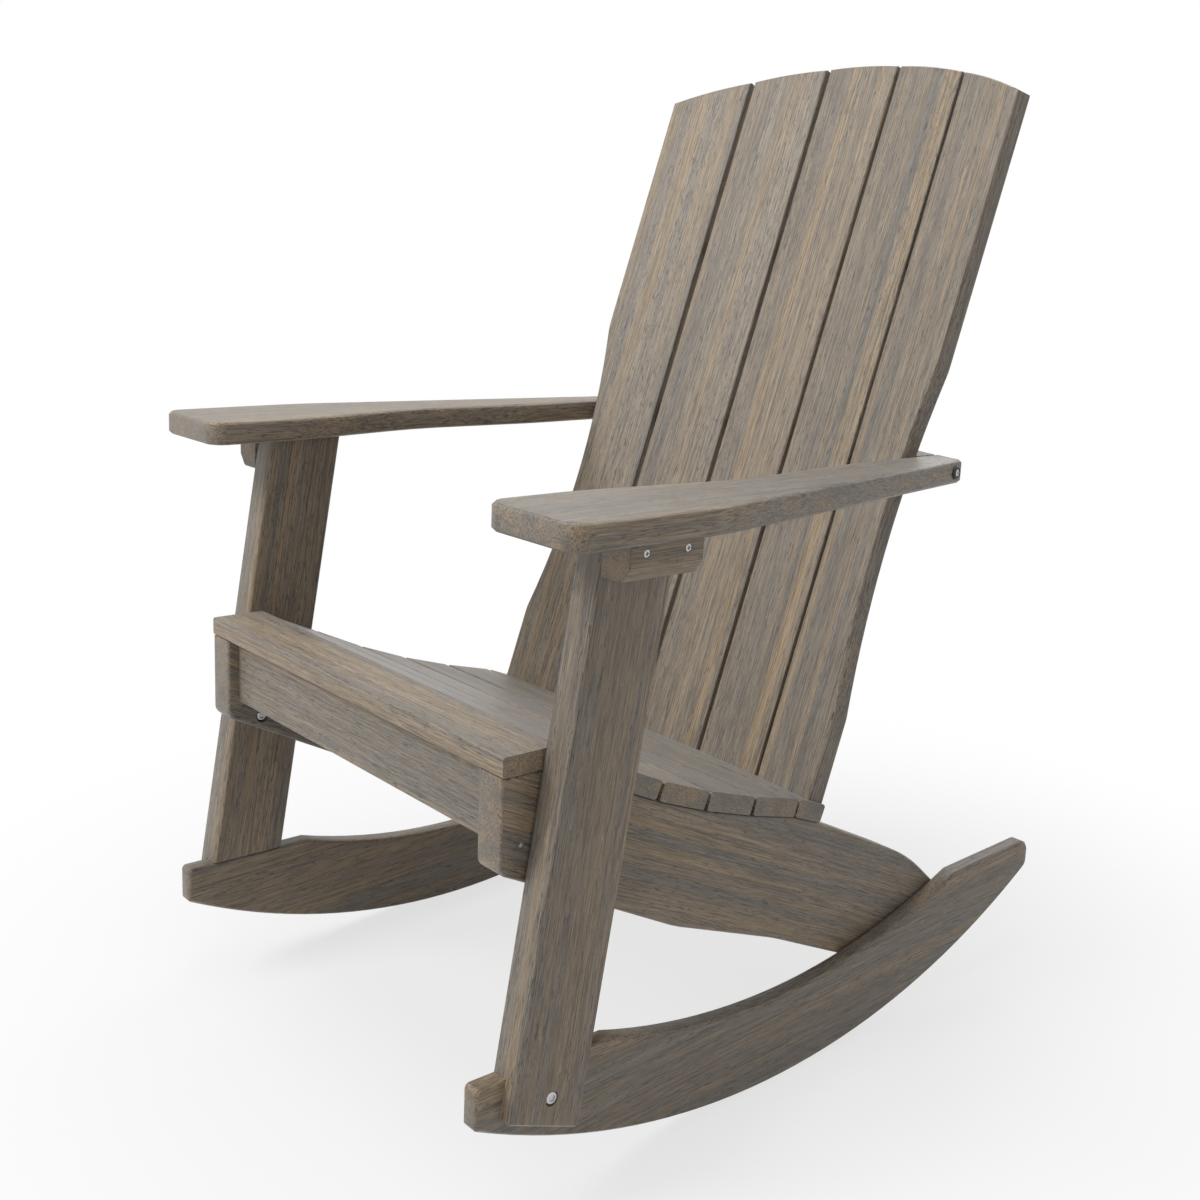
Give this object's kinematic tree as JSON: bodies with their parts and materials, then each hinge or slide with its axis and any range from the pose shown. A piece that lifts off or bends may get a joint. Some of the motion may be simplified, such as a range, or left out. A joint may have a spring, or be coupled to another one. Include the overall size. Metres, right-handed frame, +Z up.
{
  "type": "rocking adirondack chair",
  "caption": "Adirondack chair on curved rockers: fanned, waisted slat back with an arched top, sloping slat seat, broad arms on corbels, legs lapped over the rockers.",
  "frame": {"origin": "on the floor, in the middle of the chair's footprint (the bounding box's bottom centre)", "axes": "+Z up, the chair faces -Y, +X is the sitter's left; at rest on its rockers"},
  "size_m": [0.72, 0.7958, 1.0218],
  "materials": {
    "frame_boards": "wood-grained solid plastic lumber, weathered grey-brown",
    "seat_boards": "wood-grained solid plastic lumber, weathered grey-brown",
    "back_boards": "wood-grained solid plastic lumber, weathered grey-brown",
    "arm_boards": "wood-grained solid plastic lumber, weathered grey-brown",
    "steel": "stainless steel bolts and screws",
    "black_washers": "black plastic cup washers"
  },
  "bodies": {
    "root": {"rocker_left": "frame_boards", "rocker_right": "frame_boards", "leg_left": "frame_boards", "leg_right": "frame_boards", "stringer_left": "frame_boards", "stringer_right": "frame_boards", "corbel_left": "frame_boards", "corbel_right": "frame_boards", "apron": "frame_boards", "stretcher": "frame_boards", "seat_slat_1": "seat_boards", "seat_slat_2": "seat_boards", "seat_slat_3": "seat_boards", "seat_slat_4": "seat_boards", "seat_slat_5": "seat_boards", "seat_slat_6": "seat_boards", "foot_rail": "seat_boards", "back_slat_1": "back_boards", "back_slat_2": "back_boards", "back_slat_3": "back_boards", "back_slat_4": "back_boards", "back_slat_5": "back_boards", "arm_rail": "back_boards", "top_rail": "back_boards", "arm_left": "arm_boards", "arm_right": "arm_boards", "leg_bolts": "steel", "seat_bolts": "steel", "tail_bolts": "steel", "apron_screws": "steel", "corbel_screws": "steel", "arm_bolts": "steel", "rail_screws": "steel", "foot_screws": "steel", "arm_washers": "black_washers"}
  },
  "joints": []
}
